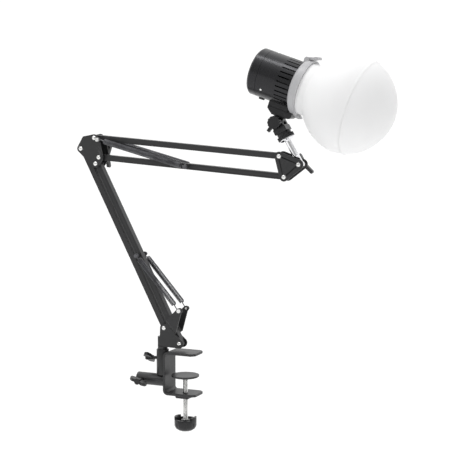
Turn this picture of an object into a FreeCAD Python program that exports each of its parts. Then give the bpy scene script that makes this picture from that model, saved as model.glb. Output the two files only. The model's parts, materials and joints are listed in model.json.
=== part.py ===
"""Clamp-on balanced arm carrying a cylindrical lamp with a soft globe diffuser.

Millimetres.  +X is the way the clamp jaws open, +Z is up, and the arm folds in
the X-Z plane.  The origin is where the clamp screw's axis meets the underside
of the top jaw.
"""

import FreeCAD
import Part
import math
import os

os.makedirs("parts", exist_ok=True)

V = FreeCAD.Vector
AXIS_X = V(1, 0, 0)
AXIS_Y = V(0, 1, 0)
AXIS_Z = V(0, 0, 1)

# ---- clamp -------------------------------------------------------------
STRIP_T = 4.0            # thickness of the bent steel strip
STRIP_W = 40.0           # width of the strip
STRIP_IN_X = -27.0       # inner face of the strip's back
JAW_TIP_X = 24.5         # tip of both jaws
JAW_GAP = 62.5           # opening between the jaws
BEND_R = 4.0             # inside radius of the bends
TIP_CORNER = 6.0         # chamfer on the jaws' corners

SCREW_R = 4.0            # M8 clamp screw
SCREW_HOLE_R = 4.06
SCREW_TOP_Z = -35.6
KNOB_TOP_Z = -107.0      # rim of the knob's bowl
KNOB_H = 18.0
KNOB_R = 18.0
EAR_H = 4.0              # how far the knob's two ears stand above its rim
KNOB_WALL = 3.2
KNOB_HOLLOW = 5.5        # depth of the hollow inside the rim
FLUTES = 8
FLUTE_R = 4.6
SCREW_IN_KNOB = 12.0
PAD_R = 22.3
PAD_T = 3.4
PAD_TOP_Z = -34.4

TUBE_R = 10.0            # both socket tubes
TUBE_BORE_R = 6.1
SOCKET_X = -40.6         # axis of the upright socket
SOCKET_TOP_Z = 4.6
SOCKET_BOTTOM_Z = -37.2
SIDE_TUBE_Z = -46.6      # axis of the level socket
SIDE_TUBE_MOUTH_X = -85.0
WING_SCREW_R = 2.5       # M5 wing screws
WING_HOLE_R = 2.56
POST_SCREW_Z = -10.6
SIDE_SCREW_X = -73.0
WING_NECK = 7.0          # bare shank between a tube and its wing screw's hub
WING_HUB = 12.5          # length of the hub
WING_SPAN = 15.0         # from the screw's axis to a wing's tip
WING_T = 4.8

# ---- arm ---------------------------------------------------------------
POST_R = 6.0
HUB_R = 8.0
HUB_TOP_Z = 25.5
ARM_LEN = 323.0          # pivot to pivot, both arms
LOWER_ANGLE = 117.33     # lower bars, degrees up from +X
UPPER_ANGLE = -4.12      # upper bars, degrees up from +X
BAR_H = 9.4              # bar section in the plane of the arm
BAR_W = 11.4             # bar section across it
BAR_WALL = 1.2
BAR_END = 5.3            # bar end beyond its pivot
PIVOT_R = 2.5            # M5 pivot bolts
PIVOT_HOLE_R = 2.56      # running hole
LOOSE_HOLE_R = 2.8       # hole at the two pivots that close the linkages
PLATE_T = 2.0
BOLT_HEAD_R = 3.8
BOLT_HEAD_H = 2.4
NUT_AF = 8.0             # across flats
NUT_H = 4.4

CHEEK_IN = 5.95          # inner faces of the base cheeks
EAR_IN = 11.3            # inner faces of the cheeks' spring ears
ELBOW_IN = 9.7           # inner faces of the elbow plates
HEAD_IN = 8.3            # inner faces of the head plates
SIDE_GAP = 0.2           # running gap beside a bar

P1 = (-34.5, 40.6)       # base pivots, (x, z)
P2 = (-7.4, 16.6)
LUG = (-3.6, 71.8)       # lower spring anchor
ELBOW_STEP = (24.95, 17.7)   # from Q1 to R1
UPPER_LINK = (8.15, -31.5)   # from R1 to R2
SPRING_STEP = (8.8, -2.4)    # from R1 to the upper springs' anchor
SPRING_Y = 14.6
PIN_AT = 0.488           # spring pins, fraction of the arm from R2 or P2
PIN_R = 2.0
PIN_END_Y = 17.0
SPRING_R = 4.7
SPRING_WIRE_R = 0.8
HOOK_LEN = 12.0

# ---- tilt stem and swivel -----------------------------------------------
TILT = (196.0, 310.0)    # tilt bolt in the head plates
STEM_LEAN = 30.0         # stem leans back from upright
STEM_R = 5.0
TONGUE_T = 6.0
STEM_LEN = 42.6          # tilt bolt to the top of the stem
DISH_R = 12.2
LOCK_R = 13.4
KNUCKLE = 73.5           # tilt bolt to the swivel's knuckle, along the stem

# ---- lamp head -----------------------------------------------------------
LAMP_TILT = 18.9         # lamp axis below level
REAR = (124.7, 452.5)    # centre of the lamp's rear face
LAMP_R = 36.7
CAP_LEN = 15.0
BODY_LEN = 75.0
WALL = 2.2
SLOT_COUNT = 30
SLOT_W = 2.0
SLOT_FROM = 48.0
SLOT_TO = 73.5
LED_PLATE_X = 69.0       # front of the plate that carries the LED
FIN_COUNT = 20
LATCH_AT = (74.0, 44.6)  # latch pin, (along, up) in the lamp
LATCH_HALF_W = 8.0
LATCH_PIN_R = 1.2
COLLAR_R = 43.1
COLLAR_LEN = 11.0
COLLAR_RIM = 0.6         # the front rim stands this far above the band
NECK_R = 40.2
GLOBE_R = 75.3           # largest radius of the globe
GLOBE_AT = 158.0         # largest radius, along the lamp's axis
GLOBE_REAR = 72.6        # half length behind the largest radius
GLOBE_FRONT = 71.0       # half length before it
GLOBE_POWER = 1.9        # roundness; 2 is an ellipse
GLOBE_SEAM = 176.0       # where its two halves meet, along the lamp's axis
INLET_X = 20.6           # power inlet, along the lamp's axis
INLET_R = 4.8
SKIN = 2.2               # silicone wall

parts = {}


def add(name, *solids):
    """Keep one node made of one or more separate solids."""
    flat = []
    for solid in solids:
        flat.extend(solid.Solids)
    parts[name] = flat[0] if len(flat) == 1 else Part.makeCompound(flat)


def box(x0, x1, y0, y1, z0, z1):
    return Part.makeBox(x1 - x0, y1 - y0, z1 - z0, V(x0, y0, z0))


def rod(start, end, radius):
    """Round bar from one point to another."""
    line = end.sub(start)
    return Part.makeCylinder(radius, line.Length, start, line)


def ring(start, end, outer, inner):
    return rod(start, end, outer).cut(rod(start, end, inner))


def across(point, y0, y1, radius):
    """Round bar along Y through an (x, z) point."""
    return rod(V(point[0], y0, point[1]), V(point[0], y1, point[1]), radius)


def across_ring(point, y0, y1, outer, inner):
    return across(point, y0, y1, outer).cut(across(point, y0, y1, inner))


def fuse(shapes):
    whole = shapes[0].multiFuse(shapes[1:]) if len(shapes) > 1 else shapes[0]
    return whole.removeSplitter()


def cut(shape, tools):
    for tool in tools:
        shape = shape.cut(tool)
    return shape


def plate(points, y0, y1):
    """Flat plate in the X-Z plane from a list of (x, z) corners."""
    wire = Part.makePolygon([V(x, y0, z) for x, z in points + points[:1]])
    return Part.Face(wire).extrude(V(0, y1 - y0, 0))


def tangent_quad(a, b):
    """Corners of the belt around two circles (x, z, r)."""
    dx, dz = b[0] - a[0], b[1] - a[1]
    dist = math.hypot(dx, dz)
    base = math.atan2(dz, dx)
    spread = math.acos((a[2] - b[2]) / dist)
    out = []
    for circle, turn in ((a, spread), (b, spread), (b, -spread), (a, -spread)):
        angle = base + turn
        out.append((circle[0] + circle[2] * math.cos(angle),
                    circle[1] + circle[2] * math.sin(angle)))
    return out


def lobed_plate(circles, y0, y1):
    """Plate whose outline is a belt around circles given in order."""
    pieces = [plate([(x, z) for x, z, _ in circles], y0, y1)] if len(circles) > 2 else []
    count = len(circles)
    for i, circle in enumerate(circles):
        pieces.append(across(circle[:2], y0, y1, circle[2]))
        if count > 2 or i == 0:
            pieces.append(plate(tangent_quad(circle, circles[(i + 1) % count]), y0, y1))
    return fuse(pieces)


def hexahedron(low, high):
    """Solid between two quads, each four vectors in the same order."""
    faces = [Part.Face(Part.makePolygon(q + q[:1])) for q in (low, high)]
    for i in range(4):
        j = (i + 1) % 4
        side = [low[i], low[j], high[j], high[i]]
        faces.append(Part.Face(Part.makePolygon(side + side[:1])))
    solid = Part.makeSolid(Part.makeShell(faces))
    if solid.Volume < 0:
        solid.reverse()
    return solid


def mirrored(shape):
    return shape.mirror(V(0, 0, 0), AXIS_Y)


def hex_bar(point, y0, y1, flats):
    radius = flats / math.sqrt(3)
    corners = [(point[0] + radius * math.cos(math.radians(60 * k)),
                point[1] + radius * math.sin(math.radians(60 * k))) for k in range(6)]
    return plate(corners, y0, y1)


def polar(point, angle, length):
    return (point[0] + length * math.cos(math.radians(angle)),
            point[1] + length * math.sin(math.radians(angle)))


def turned(shape, point, angle):
    """Turn a shape in the X-Z plane, degrees from +X towards +Z."""
    out = shape.copy()
    out.rotate(V(point[0], 0, point[1]), AXIS_Y, -angle)
    return out


def step(point, move):
    return (point[0] + move[0], point[1] + move[1])


Q1 = polar(P1, LOWER_ANGLE, ARM_LEN)
Q2 = polar(P2, LOWER_ANGLE, ARM_LEN)
R1 = step(Q1, ELBOW_STEP)
R2 = step(R1, UPPER_LINK)
S1 = polar(R1, UPPER_ANGLE, ARM_LEN)
S2 = polar(R2, UPPER_ANGLE, ARM_LEN)
LOWER_PIN = polar(P2, LOWER_ANGLE, PIN_AT * ARM_LEN)
UPPER_PIN = polar(R2, UPPER_ANGLE, PIN_AT * ARM_LEN)
UPPER_ANCHOR = step(R1, SPRING_STEP)


# ---- clamp -------------------------------------------------------------
def strip_outline(offset):
    """Bent strip's profile, offset outward from its inner face."""
    x = STRIP_IN_X - offset
    r = BEND_R + offset
    k = r * (1 - math.sqrt(0.5))
    top, bottom = offset, -JAW_GAP - offset
    return [
        Part.makeLine(V(JAW_TIP_X, 0, top), V(x + r, 0, top)),
        Part.Arc(V(x + r, 0, top), V(x + k, 0, top - k), V(x, 0, top - r)).toShape(),
        Part.makeLine(V(x, 0, top - r), V(x, 0, bottom + r)),
        Part.Arc(V(x, 0, bottom + r), V(x + k, 0, bottom + k), V(x + r, 0, bottom)).toShape(),
        Part.makeLine(V(x + r, 0, bottom), V(JAW_TIP_X, 0, bottom)),
    ]


def clamp_strip():
    inner, outer = strip_outline(0), strip_outline(STRIP_T)
    ends = [Part.makeLine(V(JAW_TIP_X, 0, 0), V(JAW_TIP_X, 0, STRIP_T)),
            Part.makeLine(V(JAW_TIP_X, 0, -JAW_GAP), V(JAW_TIP_X, 0, -JAW_GAP - STRIP_T))]
    wire = Part.Wire(Part.__sortEdges__(inner + outer + ends))
    half = STRIP_W / 2
    body = Part.Face(wire).extrude(V(0, STRIP_W, 0))
    body.translate(V(0, -half, 0))
    low, high = -JAW_GAP - STRIP_T - 1, STRIP_T + 1
    for side in (-1, 1):
        corner = Part.makePolygon([V(JAW_TIP_X - TIP_CORNER, side * half, low),
                                   V(JAW_TIP_X, side * (half - TIP_CORNER), low),
                                   V(JAW_TIP_X + 1, side * (half - TIP_CORNER), low),
                                   V(JAW_TIP_X + 1, side * (half + 1), low),
                                   V(JAW_TIP_X - TIP_CORNER, side * (half + 1), low),
                                   V(JAW_TIP_X - TIP_CORNER, side * half, low)])
        body = body.cut(Part.Face(corner).extrude(V(0, 0, high - low)))
    hole = rod(V(0, 0, -JAW_GAP - STRIP_T - 1), V(0, 0, -JAW_GAP + 1), SCREW_HOLE_R)
    return body.cut(hole)


def thread_block():
    top = -JAW_GAP - STRIP_T
    low = top - 6.0
    block = plate([(-15.5, top), (-13.0, low), (8.5, low), (9.5, low + 1), (9.5, top)], -9.0, 9.0)
    return block.cut(rod(V(0, 0, low - 1), V(0, 0, top + 1), SCREW_HOLE_R))


def socket_tubes():
    face_x = STRIP_IN_X - STRIP_T
    upright = ring(V(SOCKET_X, 0, SOCKET_BOTTOM_Z), V(SOCKET_X, 0, SOCKET_TOP_Z), TUBE_R, TUBE_BORE_R)
    upright = upright.cut(box(face_x, face_x + 20, -20, 20, -80, 20))
    hole = rod(V(SOCKET_X - TUBE_R - 2, 0, POST_SCREW_Z), V(SOCKET_X, 0, POST_SCREW_Z), WING_HOLE_R)
    upright = upright.cut(hole)
    level = ring(V(SIDE_TUBE_MOUTH_X, 0, SIDE_TUBE_Z), V(face_x, 0, SIDE_TUBE_Z), TUBE_R, TUBE_BORE_R)
    side_hole = rod(V(SIDE_SCREW_X, -TUBE_R - 2, SIDE_TUBE_Z), V(SIDE_SCREW_X, 0, SIDE_TUBE_Z), WING_HOLE_R)
    level = level.cut(side_hole)
    flat = rod(V(SIDE_TUBE_MOUTH_X, 0, SIDE_TUBE_Z), V(face_x, 0, SIDE_TUBE_Z), TUBE_R)
    return upright.cut(flat), level


def wing_screw(length):
    """Screw along +X with its hub and wings behind the origin, which is the tube's surface."""
    back = -WING_NECK - WING_HUB
    shank = rod(V(back + 1, 0, 0), V(length, 0, 0), WING_SCREW_R)
    hub = Part.makeCone(3.6, 5.0, WING_HUB, V(-WING_NECK, 0, 0), V(-1, 0, 0))
    wings = []
    for side in (-1, 1):
        outline = [(-WING_NECK - 0.8, 0), (-WING_NECK - 0.4, side * 6.0),
                   (-WING_NECK - 1.4, side * 10.6), (-WING_NECK - 4.4, side * WING_SPAN),
                   (back + 2.4, side * (WING_SPAN - 0.8)), (back - 1.2, side * 9.4),
                   (back, side * 5.6), (back + 1.4, 0)]
        wings.append(plate(outline, -WING_T / 2, WING_T / 2))
    return fuse([shank, hub] + wings)


def placed_wing_screw(length, where, direction, roll):
    piece = wing_screw(length)
    piece.rotate(V(0, 0, 0), AXIS_X, roll)
    piece.rotate(V(0, 0, 0), AXIS_Z, direction)
    piece.translate(where)
    return piece


def clamp_screw():
    """Plain shank that stands for the M8 thread, with a ball under the pad."""
    bottom = KNOB_TOP_Z - 12.0
    return rod(V(0, 0, bottom), V(0, 0, SCREW_TOP_Z), SCREW_R)


def pressure_pad():
    top = Part.makeCylinder(PAD_R, PAD_T - 1, V(0, 0, PAD_TOP_Z - PAD_T + 1))
    lower = Part.makeCone(PAD_R - 1.5, PAD_R, 1.0, V(0, 0, PAD_TOP_Z - PAD_T))
    socket = Part.makeCylinder(7.0, 3.0, V(0, 0, PAD_TOP_Z - PAD_T - 3))
    pocket = Part.makeCylinder(SCREW_R + 0.06, 30, V(0, 0, SCREW_TOP_Z - 30 + 0.3))
    return fuse([top, lower, socket]).cut(pocket)


def clamp_knob():
    """Bowl-shaped knob: fluted side, hollow rim and two ears standing above it."""
    top, low = KNOB_TOP_Z, KNOB_TOP_Z - KNOB_H
    lip = KNOB_R - KNOB_WALL
    floor = top - KNOB_HOLLOW
    profile = [V(0, 0, low), V(KNOB_R - 6.5, 0, low), V(KNOB_R - 2.2, 0, low + 3.0),
               V(KNOB_R, 0, low + 7.5), V(KNOB_R, 0, top), V(lip, 0, top),
               V(lip, 0, floor), V(8.0, 0, floor), V(7.0, 0, top - 1.0), V(0, 0, top - 1.0)]
    bowl = Part.Face(Part.makePolygon(profile + profile[:1])).revolve(V(0, 0, 0), AXIS_Z, 360)
    rim = ring(V(0, 0, floor), V(0, 0, top + EAR_H), KNOB_R, lip)
    ears = [rim.common(box(min(side * 11.0, side * 30.0), max(side * 11.0, side * 30.0),
                           -8.5, 8.5, floor, top + EAR_H)) for side in (-1, 1)]
    knob = fuse([bowl] + ears)
    for k in range(FLUTES):
        x, y = polar((0, 0), 360.0 * (k + 0.5) / FLUTES, KNOB_R + FLUTE_R - 1.0)
        knob = knob.cut(Part.makeCylinder(FLUTE_R, KNOB_H - 4, V(x, y, low - 1)))
    return knob.cut(rod(V(0, 0, top - SCREW_IN_KNOB), V(0, 0, top + 10), SCREW_R))


def build_clamp():
    add("clamp_strip", clamp_strip())
    add("thread_block", thread_block())
    upright, level = socket_tubes()
    add("post_socket", upright)
    add("side_socket", level)
    add("clamp_screw", clamp_screw())
    add("pressure_pad", pressure_pad())
    add("clamp_knob", clamp_knob())
    reach = TUBE_R - POST_R - 0.5
    add("post_wing_screw", placed_wing_screw(reach, V(SOCKET_X - TUBE_R, 0, POST_SCREW_Z), 0, 56))
    add("side_wing_screw", placed_wing_screw(reach, V(SIDE_SCREW_X, -TUBE_R, SIDE_TUBE_Z), 90, -70))


# ---- base bracket --------------------------------------------------------
def swivel_post():
    post = rod(V(SOCKET_X, 0, SOCKET_BOTTOM_Z + 2.0), V(SOCKET_X, 0, SOCKET_TOP_Z + 0.1), POST_R)
    hub = rod(V(SOCKET_X, 0, SOCKET_TOP_Z + 0.1), V(SOCKET_X, 0, HUB_TOP_Z), HUB_R)
    for side in (-1, 1):
        y0 = CHEEK_IN if side > 0 else -20
        low = V(SOCKET_X - 20, y0, SOCKET_TOP_Z + 5.0)
        hub = hub.cut(Part.makeBox(40, 20 - CHEEK_IN, 60, low))
    return fuse([post, hub])


def base_cheek():
    """Cheek on the -Y side: flat lower plate, joggle, and spring ear."""
    inner, outer = -CHEEK_IN, -CHEEK_IN - PLATE_T
    ear_inner, ear_outer = -EAR_IN, -EAR_IN - PLATE_T
    low = lobed_plate([(P1[0], P1[1], 6.8), (-34.7, 17.4, 7.4), (P2[0], P2[1], 7.4)], outer, inner)
    bend_a, bend_b = (-30.3, 51.6), (-14.3, 31.6)
    out_a, out_b = (-26.6, 54.6), (-10.6, 34.6)
    neck = plate([bend_a, (P1[0] + 3, P1[1]), (P2[0], P2[1] + 4), (-5.5, 24.0), bend_b], outer, inner)
    near = [V(bend_a[0], inner, bend_a[1]), V(bend_b[0], inner, bend_b[1]),
            V(bend_b[0], outer, bend_b[1]), V(bend_a[0], outer, bend_a[1])]
    far = [V(out_a[0], ear_inner, out_a[1]), V(out_b[0], ear_inner, out_b[1]),
           V(out_b[0], ear_outer, out_b[1]), V(out_a[0], ear_outer, out_a[1])]
    joggle = hexahedron(near, far)
    ear = fuse([plate([out_a, (-22.0, 60.4), (-7.0, 75.4), (-1.2, 68.4), out_b], ear_outer, ear_inner),
                across(LUG, ear_outer, ear_inner, 4.4)])
    cheek = fuse([low, neck, joggle, ear])
    return cut(cheek, [across(p, -30, 0, PIVOT_R) for p in (P1, P2)])


def domed_head(point, y, radius=BOLT_HEAD_R, height=BOLT_HEAD_H):
    """Domed bolt head standing from y towards -Y."""
    ball_r = (radius * radius + height * height) / (2 * height)
    ball = Part.makeSphere(ball_r, V(point[0], y - height + ball_r, point[1]))
    return ball.common(across(point, y - height - 1, y, radius))


def pivot_bolt(point, half, tail):
    """M5 bolt with its domed head on the -Y side; half is the plates' outer face."""
    return fuse([across(point, -half, half + tail, PIVOT_R), domed_head(point, -half)])


def lock_nut(point, half):
    body = hex_bar(point, half, half + NUT_H, NUT_AF)
    body = body.common(across(point, half - 1, half + NUT_H + 1, NUT_AF / 2 + 0.45))
    return body.cut(across(point, half - 1, half + NUT_H + 1, PIVOT_R))


def spring_studs(point, inner):
    """Capped studs that the spring eyes hook over, one standing out of each plate."""
    out = []
    for side in (-1, 1):
        root, tip = side * inner, side * PIN_END_Y
        stud = across(point, min(root, tip), max(root, tip), PIN_R)
        cap = across(point, min(tip, tip + side), max(tip, tip + side), PIN_R + 1.2)
        out.append(fuse([stud, cap]))
    return out


def build_base():
    add("swivel_post", swivel_post())
    near = base_cheek()
    add("base_cheek_left", near)
    add("base_cheek_right", mirrored(near))
    half = CHEEK_IN + PLATE_T
    fasteners = [pivot_bolt(p, half, NUT_H + 0.6) for p in (P1, P2)]
    fasteners += [lock_nut(p, half) for p in (P1, P2)]
    parts["base_cheek_left"] = parts["base_cheek_left"].cut(across(LUG, -30, 0, PIN_R))
    parts["base_cheek_right"] = parts["base_cheek_right"].cut(across(LUG, 0, 30, PIN_R))
    add("base_fasteners", *fasteners, *spring_studs(LUG, EAR_IN))


# ---- arm bars -------------------------------------------------------------
def bar_blank(half_w, half_h, end):
    body = box(0, ARM_LEN, -half_w, half_w, -half_h, half_h)
    caps = [across((x, 0), -half_w, half_w, end) for x in (0, ARM_LEN)]
    ends = [cap.common(box(-20, ARM_LEN + 20, -half_w, half_w, -half_h, half_h)) for cap in caps]
    return fuse([body] + ends)


def arm_bar(start, angle, holes, pin):
    """Box-section bar with round ends; holes are the radii at its two pivots."""
    half_w, half_h = BAR_W / 2, BAR_H / 2
    tube = bar_blank(half_w, half_h, BAR_END)
    tube = tube.cut(box(-20, ARM_LEN + 20, -half_w + BAR_WALL, half_w - BAR_WALL,
                        -half_h + BAR_WALL, half_h - BAR_WALL))
    for at, hole in zip((0, ARM_LEN), holes):
        tube = tube.cut(across((at, 0), -20, 20, hole))
    if pin:
        tube = tube.cut(across((PIN_AT * ARM_LEN, 0), -20, 20, PIN_R))
    tube.rotate(V(0, 0, 0), AXIS_Y, -angle)
    tube.translate(V(start[0], 0, start[1]))
    return tube


def spring_pin(point):
    pin = across(point, -PIN_END_Y, PIN_END_Y, PIN_R)
    caps = [across(point, PIN_END_Y, PIN_END_Y + 1.0, PIN_R + 1.2),
            across(point, -PIN_END_Y - 1.0, -PIN_END_Y, PIN_R + 1.2)]
    return fuse([pin] + caps)


def spring(start, end, y):
    """Tension spring as a plain sleeve with an eye at each end."""
    a, b = V(start[0], y, start[1]), V(end[0], y, end[1])
    way = b.sub(a)
    way.normalize()
    coil_a = a.add(way * HOOK_LEN)
    coil_b = b.sub(way * HOOK_LEN)
    pieces = [rod(coil_a, coil_b, SPRING_R)]
    for eye, coil, sign in ((start, coil_a, 1), (end, coil_b, -1)):
        pieces.append(across(eye, y - SPRING_WIRE_R, y + SPRING_WIRE_R, PIN_R + 2 * SPRING_WIRE_R + 0.3))
        inner = V(eye[0], y, eye[1]).add(way * (sign * (PIN_R + 1.1)))
        pieces.append(rod(inner, coil.add(way * (sign * 0.5)), SPRING_WIRE_R))
    whole = fuse(pieces)
    return cut(whole, [across(p, y - 5, y + 5, PIN_R + 0.3) for p in (start, end)])


def build_arms():
    run = (PIVOT_HOLE_R, PIVOT_HOLE_R)
    loose = (PIVOT_HOLE_R, LOOSE_HOLE_R)
    for name, start, angle, holes, pin in (
            ("lower_rear_bar", P1, LOWER_ANGLE, run, False),
            ("lower_front_bar", P2, LOWER_ANGLE, loose, True),
            ("upper_top_bar", R1, UPPER_ANGLE, run, False),
            ("upper_bottom_bar", R2, UPPER_ANGLE, loose, True)):
        add(name, arm_bar(start, angle, holes, pin))
    add("lower_spring_pin", spring_pin(LOWER_PIN))
    add("upper_spring_pin", spring_pin(UPPER_PIN))
    add("lower_springs", *[spring(LUG, LOWER_PIN, side * SPRING_Y) for side in (-1, 1)])
    add("upper_springs", *[spring(UPPER_ANCHOR, UPPER_PIN, side * SPRING_Y) for side in (-1, 1)])


# ---- elbow and head plates -------------------------------------------------
def pivot_spacers(points, inner):
    out = []
    for point in points:
        low, high = BAR_W / 2 + SIDE_GAP, inner
        for y0, y1 in ((low, high), (-high, -low)):
            out.append(across_ring(point, y0, y1, 4.6, PIVOT_R))
    return out


def wing_nut(point, y, roll):
    """Plastic wing nut standing from y towards +Y."""
    hub = Part.makeCone(6.2, 5.0, 9.0, V(point[0], y, point[1]), AXIS_Y)
    wings = []
    for side in (-1, 1):
        outline = [(0, 0), (0, 3.0), (side * 7, 4.5), (side * 14.0, 9.0), (side * 17.5, 10.5),
                   (side * 18.5, 14.0), (side * 16.0, 17.0), (side * 10.0, 14.5), (0, 9.0)]
        pts = [V(point[0] + x, y + h, point[1] - 2.4) for x, h in outline]
        wings.append(Part.Face(Part.makePolygon(pts + pts[:1])).extrude(V(0, 0, 4.8)))
    nut = fuse([hub] + wings).cut(across(point, y - 1, y + 8.5, PIVOT_R + 0.06))
    return turned(nut, point, roll)


def build_elbow():
    outline = [(Q1[0], Q1[1], 6.3), (Q2[0], Q2[1], 6.6), (R2[0], R2[1], 8.0),
               (-150.6, 338.6, 4.0), (R1[0], R1[1], 6.0), (-177.2, 346.0, 1.6)]
    outer = ELBOW_IN + PLATE_T
    near = lobed_plate(outline, -outer, -ELBOW_IN)
    holes = [across(p, -30, 30, PIVOT_R) for p in (Q1, Q2, R1, R2)]
    holes.append(across(UPPER_ANCHOR, -30, 30, PIN_R))
    near = cut(near, holes)
    add("elbow_plate_left", near)
    add("elbow_plate_right", mirrored(near))
    nuts = (Q1, Q2, R1)
    fasteners = [pivot_bolt(p, outer, NUT_H + 0.6) for p in nuts] + [pivot_bolt(R2, outer, 7.5)]
    fasteners += [lock_nut(p, outer) for p in nuts]
    add("elbow_fasteners", *fasteners, *spring_studs(UPPER_ANCHOR, ELBOW_IN))
    add("elbow_spacers", *pivot_spacers((Q1, Q2, R1, R2), ELBOW_IN))
    add("elbow_wing_nut", wing_nut(R2, outer + 0.1, 86))


def build_head_bracket():
    outline = [(S1[0], S1[1], 7.2), (S2[0], S2[1], 7.0), (TILT[0], TILT[1], 8.2)]
    outer = HEAD_IN + PLATE_T
    near = lobed_plate(outline, -outer, -HEAD_IN)
    near = cut(near, [across(p, -30, 30, PIVOT_R) for p in (S1, S2, TILT)])
    add("head_plate_left", near)
    add("head_plate_right", mirrored(near))
    fasteners = [pivot_bolt(p, outer, NUT_H + 0.6) for p in (S1, S2)] + [pivot_bolt(TILT, outer, 7.5)]
    add("head_fasteners", *fasteners, *[lock_nut(p, outer) for p in (S1, S2)])
    reach = TONGUE_T / 2 + SIDE_GAP
    add("head_spacers", *pivot_spacers((S1, S2), HEAD_IN),
        across_ring(TILT, reach, HEAD_IN, 5.6, PIVOT_R),
        across_ring(TILT, -HEAD_IN, -reach, 5.6, PIVOT_R))
    add("head_wing_nut", wing_nut(TILT, outer + 0.1, -52))


# ---- stem and swivel: built upright on the tilt bolt, then leaned back -------
def leaned(shape):
    out = shape.copy()
    out.translate(V(TILT[0], 0, TILT[1]))
    out.rotate(V(TILT[0], 0, TILT[1]), AXIS_Y, -STEM_LEAN)
    return out


def stem():
    shaft = rod(V(0, 0, 14.5), V(0, 0, STEM_LEN), STEM_R)
    half = TONGUE_T / 2
    tongue = fuse([box(-STEM_R, STEM_R, -half, half, 0, 17), across((0, 0), -half, half, 6.0)])
    tongue = tongue.cut(across((0, 0), -20, 20, PIVOT_HOLE_R))
    stud = rod(V(0, 0, STEM_LEN - 1), V(0, 0, 56.5), 3.1)
    return fuse([shaft, tongue, stud])


def stem_dish():
    pts = [V(STEM_R, 0, 40.2), V(9.0, 0, 41.4), V(DISH_R, 0, 43.4), V(DISH_R, 0, 44.8),
           V(3.1, 0, 44.8), V(3.1, 0, STEM_LEN), V(STEM_R, 0, STEM_LEN)]
    return Part.Face(Part.makePolygon(pts + pts[:1])).revolve(V(0, 0, 0), AXIS_Z, 360)


def lock_disc():
    disc = ring(V(0, 0, 45.2), V(0, 0, 50.6), LOCK_R, 3.16)
    notch = Part.makeCylinder(1.2, 8, V(LOCK_R + 0.5, 0, 44))
    for k in range(24):
        cutter = notch.copy()
        cutter.rotate(V(0, 0, 0), AXIS_Z, 15 * k)
        disc = disc.cut(cutter)
    return disc


def swivel_base():
    """Clevis that turns on the stem's stud and holds the knuckle between two ears."""
    foot = rod(V(0, 0, 51.0), V(0, 0, 55.0), 11.2)
    block = box(-10.5, 10.5, -11.0, 11.0, 55.8, 64.5)
    waist = rod(V(0, 0, 54.5), V(0, 0, 56.5), 9.6)
    ears = []
    for y0 in (-11.0, 6.0):
        ears.append(box(-9.0, 9.0, y0, y0 + 5.0, 63, KNUCKLE))
        ears.append(across((0, KNUCKLE), y0, y0 + 5.0, 9.0))
    whole = fuse([foot, waist, block] + ears)
    whole = whole.cut(rod(V(0, 0, 50), V(0, 0, 56.8), 3.16))
    return whole.cut(across((0, KNUCKLE), -20, 20, 3.0))


def knuckle_bolt():
    """Cross bolt of the swivel, with a flat head on the +Y side."""
    point = (0, KNUCKLE)
    return fuse([across(point, -16.0, 11.1, 3.0), across(point, 11.1, 13.6, 5.4)])


def swivel_knob():
    point = (0, KNUCKLE)
    disc = across(point, -20.0, -11.3, 10.2)
    for k in range(12):
        where = polar(point, 30 * k + 15, 10.9)
        disc = disc.cut(across(where, -25, -10, 1.5))
    lever = turned(box(-5, 17.0, -18.0, -12.5, KNUCKLE - 2.4, KNUCKLE + 2.4), point, 203)
    knob = fuse([disc, lever])
    return knob.cut(across(point, -16.3, 0, 3.06))


def build_stem():
    add("tilt_stem", leaned(stem()))
    add("stem_dish", leaned(stem_dish()))
    add("lock_disc", leaned(lock_disc()))
    add("swivel_base", leaned(swivel_base()))
    add("knuckle_bolt", leaned(knuckle_bolt()))
    add("swivel_knob", leaned(swivel_knob()))


# ---- lamp head: built along +X from its rear face, then tilted ---------------
def lamp(shape):
    out = shape.copy()
    out.rotate(V(0, 0, 0), AXIS_Y, LAMP_TILT)
    out.translate(V(REAR[0], 0, REAR[1]))
    return out


def knuckle_in_lamp():
    """Swivel knuckle's place in the lamp's own frame, (along, up)."""
    lean = math.radians(STEM_LEAN)
    x = TILT[0] - KNUCKLE * math.sin(lean) - REAR[0]
    z = TILT[1] + KNUCKLE * math.cos(lean) - REAR[1]
    c, s = math.cos(math.radians(LAMP_TILT)), math.sin(math.radians(LAMP_TILT))
    return (x * c - z * s, x * s + z * c)


def turned_profile(points):
    """Solid of revolution about the lamp's axis from (along, radius) points."""
    wire = Part.makePolygon([V(x, 0, r) for x, r in points + points[:1]])
    return Part.Face(wire).revolve(V(0, 0, 0), AXIS_X, 360)


def disc(x0, x1, radius, at=(0.0, 0.0)):
    return rod(V(x0, at[0], at[1]), V(x1, at[0], at[1]), radius)


def disc_ring(x0, x1, outer, inner, at=(0.0, 0.0)):
    return disc(x0, x1, outer, at).cut(disc(x0 - 1, x1 + 1, inner, at))


DIALS = ((-13.5, -9.0), (13.5, -9.0))
BUTTON = (0.0, -21.5)
SCREEN = (0.0, 12.0)


def rear_cap():
    shell = turned_profile([(3.0, 30.0), (0.6, 32.0), (0.0, 34.4), (2.8, LAMP_R), (CAP_LEN, LAMP_R),
                            (CAP_LEN, LAMP_R - WALL), (7.0, LAMP_R - WALL), (3.0, 33.4)])
    return shell


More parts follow.
